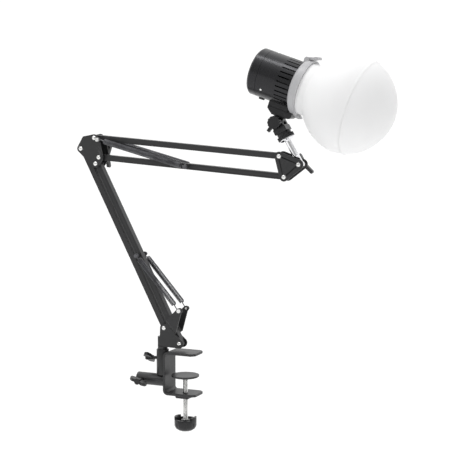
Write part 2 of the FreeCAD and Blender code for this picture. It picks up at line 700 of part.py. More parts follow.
def rear_panel():
    panel = disc(0.8, 3.0, 29.9)
    rim = disc_ring(3.0, 5.0, 33.0, 26.0)
    panel = fuse([panel, rim])
    holes = [disc(-1, 6, 3.2, at) for at in DIALS]
    holes.append(disc(-1, 6, 3.6, BUTTON))
    holes.append(box(-1, 2.0, SCREEN[0] - 12.2, SCREEN[0] + 12.2, SCREEN[1] - 6.7, SCREEN[1] + 6.7))
    for k in range(10):
        angle = math.radians(18 + 36 * k)
        if abs(math.degrees(angle) - 270) > 30:
            y, z = 25.6 * math.cos(angle), 25.6 * math.sin(angle)
            holes.append(disc(-1, 6, 1.4, (y, z)))
    return cut(panel, holes)


def dial(at):
    knob = disc(-2.6, 0.4, 6.5, at)
    for k in range(16):
        angle = math.radians(22.5 * k)
        where = (at[0] + 6.9 * math.cos(angle), at[1] + 6.9 * math.sin(angle))
        knob = knob.cut(disc(-9, 1, 0.8, where))
    spindle = disc(0.0, 9.0, 3.1, at)
    return fuse([knob, spindle])


def vent_housing():
    shell = disc_ring(CAP_LEN + 0.4, BODY_LEN, LAMP_R, LAMP_R - WALL)
    lip = disc_ring(CAP_LEN - 3.0, CAP_LEN + 4.0, LAMP_R - WALL - 0.1, LAMP_R - WALL - 2.0)
    body = fuse([shell, lip, disc_ring(CAP_LEN + 0.4, CAP_LEN + 4.0, LAMP_R - WALL + 0.2,
                                       LAMP_R - WALL - 1.0)])
    cutter = box(SLOT_FROM, SLOT_TO, -SLOT_W / 2, SLOT_W / 2, LAMP_R - WALL - 3, LAMP_R + 2)
    shoe_half = 6.5 * 360 / SLOT_COUNT / 2
    tools = []
    for k in range(SLOT_COUNT):
        angle = 360.0 * k / SLOT_COUNT + 180.0 / SLOT_COUNT
        if abs(angle - 180) < shoe_half:
            continue
        tool = cutter.copy()
        tool.rotate(V(0, 0, 0), AXIS_X, angle)
        tools.append(tool)
    return body.cut(Part.makeCompound(tools))


def heat_sink():
    """Finned core behind the slots, closed at the front by the plate that carries the LED."""
    back = LED_PLATE_X - 4.0
    core = disc(back - 14.0, back, 11.0)
    plug = disc(back, LED_PLATE_X, LAMP_R - WALL - 0.6)
    fins = []
    fin = box(back - 20.0, back + 0.5, -0.6, 0.6, 8.0, 32.0)
    for k in range(FIN_COUNT):
        piece = fin.copy()
        piece.rotate(V(0, 0, 0), AXIS_X, 360.0 * k / FIN_COUNT)
        fins.append(piece)
    return fuse([core, plug] + fins)


def fan_parts():
    frame = box(26.0, 36.0, -22.5, 22.5, -22.5, 22.5).common(disc(20, 40, 30.0))
    frame = frame.cut(disc(20, 40, 20.5))
    hub_mount = disc(34.6, 36.0, 9.0)
    struts = [box(34.6, 36.0, -21.5, 21.5, -1.2, 1.2), box(34.6, 36.0, -1.2, 1.2, -21.5, 21.5)]
    frame = fuse([frame, hub_mount] + struts)
    rotor = disc(27.0, 34.0, 8.5)
    blades = []
    for k in range(7):
        blade = box(28.0, 33.4, -0.6, 0.6, 8.0, 19.6)
        blade.rotate(V(30.5, 0, 0), AXIS_Z, 32)
        blade.rotate(V(0, 0, 0), AXIS_X, 360.0 * k / 7)
        blades.append(blade.common(disc(27.2, 33.8, 19.8)))
    return frame, fuse([rotor] + blades)


def latch_ears():
    """Two ears on the collar that hold the latch pin."""
    x, z = LATCH_AT
    outline = [(x - 3.4, LAMP_R + 0.5), (x - 3.4, z - 0.4), (x - 1.4, z + 1.9),
               (x + 1.4, z + 1.9), (x + 4.0, z - 1.2), (x + 4.0, COLLAR_R - 1.5)]
    inner, outer = LATCH_HALF_W + 0.3, LATCH_HALF_W + 3.0
    return [plate(outline, min(s * inner, s * outer), max(s * inner, s * outer)) for s in (-1, 1)]


def collar():
    """Light ring at the front of the housing that the diffuser twists into."""
    front = BODY_LEN + COLLAR_LEN
    rim = COLLAR_R + COLLAR_RIM
    seat = LAMP_R + 0.05
    band = turned_profile([(BODY_LEN - 4.0, seat), (BODY_LEN, seat),
                           (BODY_LEN, 35.0), (BODY_LEN + 3, 35.0), (BODY_LEN + 3, NECK_R + 0.3),
                           (front, NECK_R + 0.3), (front, rim), (front - 1.6, rim),
                           (front - 2.4, COLLAR_R), (BODY_LEN + 1.5, COLLAR_R),
                           (BODY_LEN - 1.0, COLLAR_R - 2)])
    lip = plate([(front - 7.0, -COLLAR_R + 2), (front - 5.0, -COLLAR_R - 0.8), (front + 1.5, -COLLAR_R - 3.4),
                 (front + 5.0, -COLLAR_R - 3.6), (front + 5.0, -COLLAR_R - 2.4), (front, -COLLAR_R + 1.5)],
                -LATCH_HALF_W, LATCH_HALF_W)
    whole = fuse([band, lip] + latch_ears())
    reach = LATCH_HALF_W + 4.0
    return whole.cut(across(LATCH_AT, -reach, reach, LATCH_PIN_R + 0.06))


def release_tab():
    """Latch lever on top of the collar, with its pin through the collar's ears."""
    x, z = LATCH_AT
    lever = plate([(x - 5.2, z - 2.6), (x - 3.2, z - 0.2), (x, z + 1.9), (x + 4.0, z + 2.2),
                   (x + 8.0, z + 3.6), (x + 12.0, z + 5.8), (x + 15.6, z + 6.4), (x + 17.4, z + 4.2),
                   (x + 17.2, z + 2.4), (x + 14.6, z + 2.2), (x + 12.2, z + 0.6), (x + 9.5, z - 0.8),
                   (x + 2.2, z - 0.9), (x - 1.0, z - 1.9), (x - 4.0, z - 3.4)],
                  -LATCH_HALF_W, LATCH_HALF_W)
    barrel = across(LATCH_AT, -LATCH_HALF_W, LATCH_HALF_W, 1.9)
    pin = across(LATCH_AT, -LATCH_HALF_W - 3.0, LATCH_HALF_W + 3.0, LATCH_PIN_R)
    return fuse([lever, barrel, pin])


def reflector():
    """Thin cone around the LED; its mouth is inside the diffuser's neck."""
    x = LED_PLATE_X + 2.5
    return turned_profile([(x, 13.0), (x + 13.5, 27.0), (x + 18.0, 33.0), (x + 18.0, 34.6), (x + 16.7, 34.6),
                           (x + 12.5, 28.6), (x, 14.4)])


def globe_radius(x):
    """Radius of the globe's outer skin at a place along the lamp's axis."""
    half = GLOBE_REAR if x < GLOBE_AT else GLOBE_FRONT
    t = (x - GLOBE_AT) / half
    return GLOBE_R * max(0.0, 1 - abs(t) ** GLOBE_POWER) ** (1 / GLOBE_POWER)


def globe_shell(x0, x1, close):
    """Skin between two places along the axis; close rounds it off at the nose."""
    steps = 26
    outer, inner = [], []
    for k in range(steps + 1):
        x = x0 + (x1 - x0) * (k / steps if not close else math.sin(math.pi / 2 * k / steps))
        outer.append((x, max(globe_radius(x), 0.0)))
    for x, r in outer:
        shift = (x - GLOBE_AT) * SKIN / (GLOBE_FRONT if x > GLOBE_AT else GLOBE_REAR)
        inner.append((x - shift, max(r - SKIN * (r / GLOBE_R) ** 0.5, 0.0)))
    return outer, inner


def diffuser_front():
    outer, inner = globe_shell(GLOBE_SEAM, GLOBE_AT + GLOBE_FRONT, True)
    outer[-1] = (outer[-1][0], 0.0)
    inner[-1] = (inner[-1][0], 0.0)
    return turned_profile(outer + inner[::-1])


def neck_start():
    """Where the globe's flare leaves the neck, along the axis."""
    x = BODY_LEN + COLLAR_LEN + 2.0
    while globe_radius(x) < NECK_R:
        x += 0.25
    return x


def diffuser_rear():
    flare = neck_start()
    outer, inner = globe_shell(flare, GLOBE_SEAM, False)
    neck_outer = [(BODY_LEN + 3.6, NECK_R)]
    neck_inner = [(BODY_LEN + 3.6, NECK_R - SKIN)]
    return turned_profile(neck_outer + outer + inner[::-1] + neck_inner)


def mount_shoe():
    """Saddle under the housing that carries the lamp."""
    saddle = plate([(38.0, -33.0), (38.0, -46.0), (45.5, -52.0), (76.0, -52.0), (79.5, -48.5), (79.5, -33.0)],
                   -12.0, 12.0)
    saddle = saddle.cut(disc(0, 100, LAMP_R))
    saddle = saddle.cut(disc(BODY_LEN - 4.4, 100, COLLAR_R + 0.3))
    groove = [box(41, 76, side * 12 - 1.2, side * 12 + 1.2, -43.0, -40.6) for side in (-1, 1)]
    return cut(saddle, groove)


def swivel_tongue():
    """Knuckle of the swivel, fixed under the shoe."""
    at = knuckle_in_lamp()
    half = 5.7
    barrel = across(at, -half, half, 8.6)
    web = plate([(at[0] - 8.0, -54.4), (at[0] - 8.0, at[1]), (at[0] + 8.0, at[1]), (at[0] + 8.0, -54.4)],
                -half, half)
    plate_top = box(at[0] - 12, at[0] + 12, -10.5, 10.5, -53.8, -52.0)
    return fuse([barrel, web, plate_top]).cut(across(at, -20, 20, 3.06))


def build_lamp():
    add("rear_cap", lamp(rear_cap()))
    add("rear_panel", lamp(rear_panel()))
    window = box(1.0, 1.9, SCREEN[0] - 12.1, SCREEN[0] + 12.1, SCREEN[1] - 6.6, SCREEN[1] + 6.6)
    add("display_window", lamp(window))
    add("brightness_dial", lamp(dial(DIALS[0])))
    add("color_dial", lamp(dial(DIALS[1])))
    add("power_button", lamp(disc(-2.2, 6.5, 3.5, BUTTON)))
    add("vent_housing", lamp(vent_housing()))
    add("heat_sink", lamp(heat_sink()))
    frame, rotor = fan_parts()
    add("fan_frame", lamp(frame))
    add("fan_rotor", lamp(rotor))
    board = box(14.0, 15.6, -24.0, 24.0, -20.0, 20.0)
    add("driver_board", lamp(board))
    add("led_board", lamp(disc(LED_PLATE_X, LED_PLATE_X + 1.6, 14.0)))
    add("led_emitter", lamp(disc(LED_PLATE_X + 1.6, LED_PLATE_X + 2.4, 9.5)))
    add("reflector", lamp(reflector()))
    add("collar", lamp(collar()))
    add("release_tab", lamp(release_tab()))
    add("diffuser_rear", lamp(diffuser_rear()))
    add("diffuser_front", lamp(diffuser_front()))
    add("mount_shoe", lamp(mount_shoe()))
    add("swivel_tongue", lamp(swivel_tongue()))
    mouth = -LAMP_R - 2.4
    inlet = rod(V(INLET_X, 0, mouth), V(INLET_X, 0, -LAMP_R + WALL + 3.0), INLET_R)
    inlet = inlet.cut(rod(V(INLET_X, 0, mouth - 1), V(INLET_X, 0, -LAMP_R + 2.0), 3.0))
    add("dc_inlet", lamp(inlet))
    hole = rod(V(INLET_X, 0, mouth), V(INLET_X, 0, -LAMP_R + WALL + 3.0), INLET_R)
    parts["vent_housing"] = parts["vent_housing"].cut(lamp(hole))
    screws = []
    for x, angle in ((26.0, 6.0), (30.0, -66.0), (26.0, 126.0)):
        screw = Part.makeCylinder(1.7, 2.6, V(x, 0, LAMP_R - 2.0))
        screw.rotate(V(0, 0, 0), AXIS_X, angle)
        screws.append(lamp(screw))
    parts["vent_housing"] = cut(parts["vent_housing"], screws)
    add("housing_screws", *screws)


def export():
    for name, shape in parts.items():
        if not shape.isValid():
            print("INVALID", name)
        for solid in shape.Solids:
            if solid.Volume <= 0:
                print("BAD VOLUME", name)
        shape.exportStep("parts/" + name + ".step")
    print(len(parts), "nodes")


build_clamp()
build_base()
build_arms()
build_elbow()
build_head_bracket()
build_stem()
build_lamp()
export()
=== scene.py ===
import json
import math

import bpy
import numpy as np
from mathutils import Matrix, Vector


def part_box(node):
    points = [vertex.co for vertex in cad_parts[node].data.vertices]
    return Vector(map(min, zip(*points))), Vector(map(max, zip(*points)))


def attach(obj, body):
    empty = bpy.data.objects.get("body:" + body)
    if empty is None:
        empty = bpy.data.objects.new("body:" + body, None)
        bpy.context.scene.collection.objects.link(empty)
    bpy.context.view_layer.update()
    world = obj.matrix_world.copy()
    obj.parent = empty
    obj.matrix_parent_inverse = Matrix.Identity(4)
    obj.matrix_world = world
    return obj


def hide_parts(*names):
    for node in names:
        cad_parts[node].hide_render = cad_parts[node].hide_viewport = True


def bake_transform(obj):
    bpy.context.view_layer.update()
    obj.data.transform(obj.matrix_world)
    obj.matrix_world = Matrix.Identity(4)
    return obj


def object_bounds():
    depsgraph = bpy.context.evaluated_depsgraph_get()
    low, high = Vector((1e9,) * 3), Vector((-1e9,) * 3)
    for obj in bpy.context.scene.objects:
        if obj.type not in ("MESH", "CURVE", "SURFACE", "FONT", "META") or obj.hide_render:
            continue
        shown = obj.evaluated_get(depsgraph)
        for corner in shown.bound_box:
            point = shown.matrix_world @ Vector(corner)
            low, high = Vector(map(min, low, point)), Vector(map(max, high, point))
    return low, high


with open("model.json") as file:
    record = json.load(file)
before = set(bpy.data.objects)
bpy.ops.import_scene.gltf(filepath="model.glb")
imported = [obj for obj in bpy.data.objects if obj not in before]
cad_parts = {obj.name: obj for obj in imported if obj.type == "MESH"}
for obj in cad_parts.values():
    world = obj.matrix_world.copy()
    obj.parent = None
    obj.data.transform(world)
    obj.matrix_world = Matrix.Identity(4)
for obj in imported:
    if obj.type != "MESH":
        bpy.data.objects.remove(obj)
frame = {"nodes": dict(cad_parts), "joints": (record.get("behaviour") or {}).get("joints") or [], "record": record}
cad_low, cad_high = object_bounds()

NODES = frame["nodes"]
RECORD = frame["record"]
JOINTS = {j["name"]: j for j in frame["joints"]}

# ---- sizes, in metres ----------------------------------------------------------
THREAD_PITCH = 0.00125
THREAD_DEPTH = 0.0007
EYE_R = 0.0039           # outer radius of a spring's eye
COIL_R = 0.0047          # outer radius of a spring
WIRE_R = 0.0008
FIXED_HOOK = 0.012       # from the eye at the frame to the first coil
PIN_HOOK = 0.0068        # from the last coil to the eye on the moving pin
COIL_PITCH = 0.00205
EYE_STEPS = 14           # straight lengths in an eye
EYE_SWEEP = math.radians(360 * 0.93)
COIL_STEPS = 14          # straight lengths in one turn
END_TURN = 0.12          # how far the last coils close in, as a share of the radius
SCREW_SIDES = 28
SCREW_ROWS = 6           # rings of points in one thread pitch
SCREW_CHAMFER = 0.0012

# rounded edges on CAD nodes
BEVEL_ANGLE = math.radians(40.0)
BEVEL_SEGMENTS = 2
MERGE = 0.000002

# the globe, measured along the lamp's axis from the centre of its rear face
TWIST_AT = 0.080         # where the record puts the diffuser's joint
GLOBE_R = 0.0753
GLOBE_AT = 0.158
GLOBE_REAR = 0.0726
GLOBE_FRONT = 0.071
GLOBE_POWER = 1.9
GLOBE_SEAM = 0.176
NECK_R = 0.0402
NECK_FROM = 0.0786
SKIN = 0.0022
BEAD = 0.0010            # how far the seam's bead and the neck's rib stand proud
SEAM_WIDTH = 0.0024
RIB_WIDTH = 0.0007
RIB_BACK = 0.0025        # from the flare back to the neck's rib
GLOBE_SEGMENTS = 112
NOSE_STEPS = 60


# the studio: a bright wall behind the object, a dim one behind the camera, and a lit roof
VIEW_AZIMUTH = math.radians(23.8)
SKY_WALL = (-0.25, 0.75, 0.42, 1.06)     # from and to, then the light at each
SKY_ROOF = (0.45, 0.95, 0.0, 0.95)


# ---- node helpers ---------------------------------------------------------
class Shader:
    """A material with a Principled shader and short calls for the usual nodes."""

    def __init__(self, name):
        self.material = bpy.data.materials.new(name)
        self.material.use_nodes = True
        self.tree = self.material.node_tree
        self.bsdf = self.tree.nodes["Principled BSDF"]
        self.place = self.add("ShaderNodeTexCoord").outputs["Object"]

    def add(self, kind, **values):
        node = self.tree.nodes.new(kind)
        for key, value in values.items():
            setattr(node, key, value)
        return node

    def link(self, a, b):
        self.tree.links.new(a, b)

    def set(self, **values):
        for key, value in values.items():
            self.bsdf.inputs[key.replace("_", " ")].default_value = value

    def noise(self, scale, detail=3.0, roughness=0.55, stretch=None):
        node = self.add("ShaderNodeTexNoise")
        node.inputs["Scale"].default_value = scale
        node.inputs["Detail"].default_value = detail
        node.inputs["Roughness"].default_value = roughness
        vector = self.place
        if stretch:
            mapping = self.add("ShaderNodeMapping")
            mapping.inputs["Scale"].default_value = stretch
            self.link(vector, mapping.inputs["Vector"])
            vector = mapping.outputs["Vector"]
        self.link(vector, node.inputs["Vector"])
        return node.outputs["Fac"]

    def spread(self, value, low, high, start=0.3, end=0.7):
        """Noise from start..end mapped to low..high."""
        node = self.add("ShaderNodeMapRange")
        for key, number in (("From Min", start), ("From Max", end), ("To Min", low), ("To Max", high)):
            node.inputs[key].default_value = number
        self.link(value, node.inputs["Value"])
        return node.outputs["Result"]

    def blend(self, factor, first, second):
        """Colour mixed from first to second; each is a colour or a socket."""
        node = self.add("ShaderNodeMix", data_type="RGBA")
        self.link(factor, node.inputs["Factor"])
        sockets = [s for s in node.inputs if s.type == "RGBA"]
        for socket, value in zip(sockets, (first, second)):
            if isinstance(value, (tuple, list)):
                socket.default_value = (*value, 1.0)
            else:
                self.link(value, socket)
        return [s for s in node.outputs if s.type == "RGBA"][0]

    def bump(self, height, depth, strength=1.0, under=None):
        node = self.add("ShaderNodeBump")
        node.inputs["Distance"].default_value = depth
        node.inputs["Strength"].default_value = strength
        self.link(height, node.inputs["Height"])
        if under is not None:
            self.link(under, node.inputs["Normal"])
        return node.outputs["Normal"]

    def edges(self, start=0.56, end=0.68):
        """1 on sharp outer edges, 0 elsewhere, broken up by noise."""
        node = self.add("ShaderNodeNewGeometry")
        wear = self.spread(node.outputs["Pointiness"], 0.0, 1.0, start, end)
        grain = self.spread(self.noise(320.0, 4.0), 0.0, 1.0, 0.42, 0.62)
        both = self.add("ShaderNodeMath", operation="MULTIPLY", use_clamp=True)
        self.link(wear, both.inputs[0])
        self.link(grain, both.inputs[1])
        return both.outputs["Value"]


def finish(name, dark, light, rough, metallic=0.0, grain=900.0, depth=0.00001, patch=22.0,
           worn=None, stretch=None, **fixed):
    """Colour, roughness and bump that all vary: the base of every material here."""
    s = Shader(name)
    s.set(Metallic=metallic, **fixed)
    mottle = s.spread(s.noise(patch, 4.0), 0.0, 1.0)
    colour = s.blend(mottle, dark, light)
    fine = s.noise(grain, 3.0, stretch=stretch)
    smear = s.noise(patch * 3.1, 5.0, 0.65)
    roughness = s.spread(smear, rough[0], rough[1])
    if worn:
        edge = s.edges()
        colour = s.blend(edge, colour, worn)
    s.link(colour, s.bsdf.inputs["Base Color"])
    s.link(roughness, s.bsdf.inputs["Roughness"])
    s.link(s.bump(fine, depth), s.bsdf.inputs["Normal"])
    return s.material


# ---- materials ----------------------------------------------------------------
def black_coat():
    """Semi-gloss powder coat with its fine orange-peel skin."""
    return finish("black_coat", (0.013, 0.013, 0.014), (0.017, 0.017, 0.018), (0.36, 0.44),
                  grain=900.0, depth=0.00001, patch=9.0, worn=(0.07, 0.07, 0.073))


def bright_steel():
    return finish("bright_steel", (0.70, 0.70, 0.69), (0.86, 0.86, 0.85), (0.16, 0.28), metallic=1.0,
                  grain=1600.0, depth=0.000004, patch=60.0)


def chrome():
    return finish("chrome", (0.80, 0.80, 0.82), (0.92, 0.92, 0.93), (0.05, 0.14), metallic=1.0,
                  grain=500.0, depth=0.000006, patch=60.0)


def spring_steel():
    return finish("spring_steel", (0.07, 0.07, 0.075), (0.16, 0.16, 0.17), (0.28, 0.42), metallic=0.9,
                  grain=2400.0, depth=0.000006, patch=60.0)


def black_plastic():
    """Moulded nylon with a spark-eroded texture."""
    return finish("black_plastic", (0.009, 0.009, 0.010), (0.013, 0.013, 0.014), (0.26, 0.36),
                  grain=1800.0, depth=0.000012, patch=14.0, worn=(0.04, 0.04, 0.042),
                  Specular_IOR_Level=0.38)


def anodised_black():
    """Turned and anodised aluminium: a satin skin with faint rings of tool marks."""
    s = Shader("anodised_black")
    s.set(Metallic=0.75, Specular_IOR_Level=0.3)
    axis = Vector(JOINTS["diffuser_twist"]["axis"])
    along = s.add("ShaderNodeVectorMath", operation="DOT_PRODUCT")
    s.link(s.place, along.inputs[0])
    along.inputs[1].default_value = axis
    line = s.add("ShaderNodeTexNoise", noise_dimensions="1D")
    line.inputs["Scale"].default_value = 1500.0
    line.inputs["Detail"].default_value = 2.0
    s.link(along.outputs["Value"], line.inputs["W"])
    mottle = s.spread(s.noise(8.0, 3.0), 0.0, 1.0)
    colour = s.blend(mottle, (0.030, 0.030, 0.032), (0.037, 0.037, 0.039))
    s.link(colour, s.bsdf.inputs["Base Color"])
    s.link(s.spread(line.outputs["Fac"], 0.23, 0.29), s.bsdf.inputs["Roughness"])
    rings = s.bump(line.outputs["Fac"], 0.000003)
    s.link(s.bump(s.noise(1400.0), 0.000002, under=rings), s.bsdf.inputs["Normal"])
    return s.material


def bare_aluminium():
    return finish("bare_aluminium", (0.60, 0.60, 0.61), (0.78, 0.78, 0.79), (0.28, 0.45), metallic=1.0,
                  grain=800.0, depth=0.00001, stretch=(1.0, 1.0, 0.15))


def light_grey_plastic():
    """Satin grey moulding of the collar and its latch."""
    return finish("light_grey_plastic", (0.40, 0.40, 0.41), (0.43, 0.43, 0.44), (0.30, 0.38),
                  grain=1800.0, depth=0.000008, patch=10.0, Subsurface_Weight=0.05,
                  Subsurface_Radius=(0.002, 0.002, 0.002))


def screen():
    return finish("screen", (0.004, 0.005, 0.008), (0.008, 0.010, 0.016), (0.04, 0.10), grain=300.0,
                  depth=0.000003, Coat_Weight=0.6, Coat_Roughness=0.05)


def phosphor():
    return finish("phosphor", (0.82, 0.60, 0.10), (0.92, 0.74, 0.22), (0.45, 0.60), grain=3000.0,
                  depth=0.00004, patch=400.0)


def board():
    """Solder mask with lighter copper tracks under it."""
    s = Shader("board")
    wave = s.add("ShaderNodeTexBrick")
    wave.inputs["Scale"].default_value = 160.0
    wave.inputs["Mortar Size"].default_value = 0.03
    for key, value in (("Color1", (0.012, 0.10, 0.04)), ("Color2", (0.016, 0.13, 0.055)),
                       ("Mortar", (0.06, 0.30, 0.12))):
        wave.inputs[key].default_value = (*value, 1.0)
    s.link(s.place, wave.inputs["Vector"])
    s.link(wave.outputs["Color"], s.bsdf.inputs["Base Color"])
    s.link(s.spread(s.noise(80.0), 0.25, 0.45), s.bsdf.inputs["Roughness"])
    s.link(s.bump(wave.outputs["Fac"], 0.00005), s.bsdf.inputs["Normal"])
    return s.material


def silicone():
    """Soft matte skin: light spreads under the surface, and dust dulls it in patches."""
    return finish("silicone", (0.795, 0.795, 0.797), (0.815, 0.815, 0.817), (0.48, 0.60), grain=1500.0,
                  depth=0.00001, patch=10.0, Subsurface_Weight=0.25,
                  Subsurface_Radius=(0.012, 0.012, 0.012), Sheen_Weight=0.08, Specular_IOR_Level=0.35)


def lit_marks():
    """Pale printed marks and figures."""
    return finish("lit_marks", (0.60, 0.62, 0.64), (0.74, 0.76, 0.78), (0.40, 0.55), grain=2000.0,
                  depth=0.00001, patch=200.0)


MATERIALS = {make.__name__: make() for make in (
    black_coat, bright_steel, chrome, spring_steel, black_plastic, anodised_black, bare_aluminium,
    light_grey_plastic, screen, phosphor, board, silicone, lit_marks)}


# ---- mesh helpers ---------------------------------------------------------
def piece(name, vertices, faces, slot, body, stands_for=(), smooth=True):
    """A mesh in place, with its material, riding on a CAD body."""
    mesh = bpy.data.meshes.new(name)
    mesh.from_pydata([tuple(v) for v in vertices], [], faces)
    mesh.validate()
    mesh.update()
    mesh.shade_smooth() if smooth else mesh.shade_flat()
    obj = bpy.data.objects.new(name, mesh)
    bpy.context.collection.objects.link(obj)
    mesh.materials.append(MATERIALS[slot])
    if body:
        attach(obj, body)
    if stands_for:
        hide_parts(*stands_for)
    return obj


def tube(path, radius, sides=8):
    """Vertices and faces of a closed round wire along a list of points."""
    path = np.array(path, float)
    along = np.gradient(path, axis=0)
    along /= np.linalg.norm(along, axis=1)[:, None]
    normal = np.cross(along[0], (0.0, 1.0, 0.0))
    if np.linalg.norm(normal) < 0.1:
        normal = np.cross(along[0], (1.0, 0.0, 0.0))
    vertices, faces = [], []
    angles = np.arange(sides) * 2 * math.pi / sides
    for point, way in zip(path, along):
        normal = normal - way * (normal @ way)
        normal /= np.linalg.norm(normal)
        other = np.cross(way, normal)
        for a in angles:
            vertices.append(point + radius * (math.cos(a) * normal + math.sin(a) * other))
    for i in range(len(path) - 1):
        for k in range(sides):
            a, b = i * sides + k, i * sides + (k + 1) % sides
            faces.append((a, b, b + sides, a + sides))
    last = (len(path) - 1) * sides
    faces.append(tuple(range(sides))[::-1])
    faces.append(tuple(last + k for k in range(sides)))
    return vertices, faces


def revolve(profile, origin, axis, segments, closed=True):
    """Ring of quads round an axis from a closed list of (along, radius)."""
    axis = np.array(axis, float)
    up = np.array((axis[2], 0.0, -axis[0]))
    up = -up if up[2] < 0 else up
    up /= np.linalg.norm(up)
    side = np.cross(axis, up)
    count = len(profile)
    vertices, faces = [], []
    for k in range(segments):
        a = 2 * math.pi * k / segments
        out = math.cos(a) * up + math.sin(a) * side
        for x, r in profile:
            vertices.append(np.array(origin) + axis * x + out * r)
    for k in range(segments):
        m = (k + 1) % segments
        for i in range(count if closed else count - 1):
            j = (i + 1) % count
            faces.append((k * count + i, m * count + i, m * count + j, k * count + j))
    return vertices, faces


def soften(node, width):
    """Rounded edges on a CAD node, as a modifier, so that they catch the light."""
    obj = NODES[node]
    weld = obj.modifiers.new("weld", "WELD")
    weld.merge_threshold = MERGE
    bevel = obj.modifiers.new("bevel", "BEVEL")
    bevel.width = width
    bevel.segments = BEVEL_SEGMENTS
    bevel.limit_method = "ANGLE"
    bevel.angle_limit = BEVEL_ANGLE


# ---- CAD nodes: materials and softened edges ------------------------------------
SOFT = {                 # rounding in metres on the nodes whose edges show
    "clamp_strip": 0.0007, "thread_block": 0.0004, "post_socket": 0.0005, "side_socket": 0.0005,
    "pressure_pad": 0.0006, "clamp_knob": 0.0006, "post_wing_screw": 0.0009, "side_wing_screw": 0.0009,
    "base_cheek_left": 0.0004, "base_cheek_right": 0.0004, "lower_rear_bar": 0.0006,
    "lower_front_bar": 0.0006, "elbow_plate_left": 0.0005, "elbow_plate_right": 0.0005,
    "elbow_wing_nut": 0.0008, "upper_top_bar": 0.0006, "upper_bottom_bar": 0.0006,
    "head_plate_left": 0.0005, "head_plate_right": 0.0005, "head_wing_nut": 0.0008,
    "lock_disc": 0.0005, "swivel_base": 0.0005, "swivel_knob": 0.0005, "mount_shoe": 0.0005,
    "swivel_tongue": 0.0005,
    "release_tab": 0.0004, "brightness_dial": 0.0003, "color_dial": 0.0003, "power_button": 0.0003,
    "dc_inlet": 0.0003}


# painted shade: the heat sink takes the dark anodised material so that it stands for the shade behind the slots
PAINTED_SHADE_NODES = {"heat_sink": "anodised_black"}      # seen only as darkness behind the slots


def dress_cad_nodes():
    for node, width in SOFT.items():
        soften(node, width)
    for part in RECORD["subparts"]:
        obj = NODES[part["node"]]
        material = MATERIALS[PAINTED_SHADE_NODES.get(part["node"], part["material_slot"])]
        if obj.material_slots:
            for entry in obj.material_slots:
                entry.material = material
        else:
            obj.data.materials.append(material)


# ---- springs -----------------------------------------------------------------------
def spring_path(start, end):
    """Eye, closed coils and eye as one wire, from (start) to (end) in one X-Z plane."""
    start, end = np.array(start), np.array(end)
    way = (end - start) / np.linalg.norm(end - start)
    length = np.linalg.norm(end - start)
    y_axis = np.array((0.0, 1.0, 0.0))
    side = np.cross(way, y_axis)
    eye = EYE_R - WIRE_R
    coil = COIL_R - WIRE_R
    points = []
    for k in range(EYE_STEPS + 1):               # first eye, open towards the coil
        a = math.radians(205) - EYE_SWEEP * k / EYE_STEPS
        points.append(start + eye * (-math.cos(a + math.pi) * way + math.sin(a + math.pi) * side))
    body = length - FIXED_HOOK - PIN_HOOK
    turns = int(body / COIL_PITCH)
    total = turns * COIL_STEPS
    for k in range(total + 1):
        s = k / COIL_STEPS
        ramp = min(1.0, 1.2 * s, 1.2 * (turns - s))
        ramp = max(END_TURN, math.sin(ramp * math.pi / 2))
        a = 2 * math.pi * s
        at = start + way * (FIXED_HOOK + body * k / total)
        points.append(at + coil * ramp * (math.cos(a) * side + math.sin(a) * y_axis))
    for k in range(EYE_STEPS + 1):
        a = math.radians(-25) + EYE_SWEEP * k / EYE_STEPS
        points.append(end + eye * (math.cos(a + math.pi) * way + math.sin(a + math.pi) * side))
    return points


def spring(name, node, side, rises):
    """One balance spring, built straight between its two studs."""
    low, high = (Vector(c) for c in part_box(node))
    y = side * (high.y - COIL_R)
    if rises:        # from its fixed end at the lower right to the pin at the upper left
        fixed = Vector((high.x - EYE_R, y, low.z + EYE_R))
        moving = Vector((low.x + EYE_R, y, high.z - EYE_R))
    else:            # from its fixed end at the upper left to the pin at the lower right
        fixed = Vector((low.x + EYE_R, y, high.z - EYE_R))
        moving = Vector((high.x - EYE_R, y, low.z + EYE_R))
    vertices, faces = tube(spring_path(fixed, moving), WIRE_R)
    obj = piece(name, vertices, faces, "spring_steel", None, (node,))
    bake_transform(obj)
    # direction and length from the fixed end to the moving end
    way = np.array(moving - fixed)
    length = np.linalg.norm(way)
    way /= length
    return obj


def build_springs():
    for label, side in (("left", -1), ("right", 1)):
        spring("lower_spring_" + label, "lower_springs",
               side, True)
        spring("upper_spring_" + label, "upper_springs",
               side, False)


# ---- clamp screw ---------------------------------------------------------------------
def build_clamp_screw():
    low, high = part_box("clamp_screw")
    radius = (high[0] - low[0]) / 2
    top, bottom = high[2], low[2]
    rows = int((top - bottom) / (THREAD_PITCH / SCREW_ROWS))
    sides = SCREW_SIDES
    vertices, faces = [], []
    for i in range(rows + 1):
        z = bottom + (top - bottom) * i / rows
        end = min(1.0, (top - z) / SCREW_CHAMFER, (z - bottom) / SCREW_CHAMFER + 0.3)
        for k in range(sides):
            phase = (z / THREAD_PITCH - k / sides) % 1.0
            crest = abs(2 * phase - 1)
            depth = THREAD_DEPTH * min(1.0, max(0.0, 1.25 * (1 - crest) - 0.12))
            r = (radius - depth) * (0.84 + 0.16 * end)
            a = 2 * math.pi * k / sides
            vertices.append((r * math.cos(a), r * math.sin(a), z))
    for i in range(rows):
        for k in range(sides):
            m = (k + 1) % sides
            faces.append((i * sides + k, i * sides + m, (i + 1) * sides + m, (i + 1) * sides + k))
    faces.append(tuple(range(sides))[::-1])
    faces.append(tuple(rows * sides + k for k in range(sides)))
    return piece("threaded_clamp_screw", vertices, faces, "bright_steel", "screw", ("clamp_screw",))


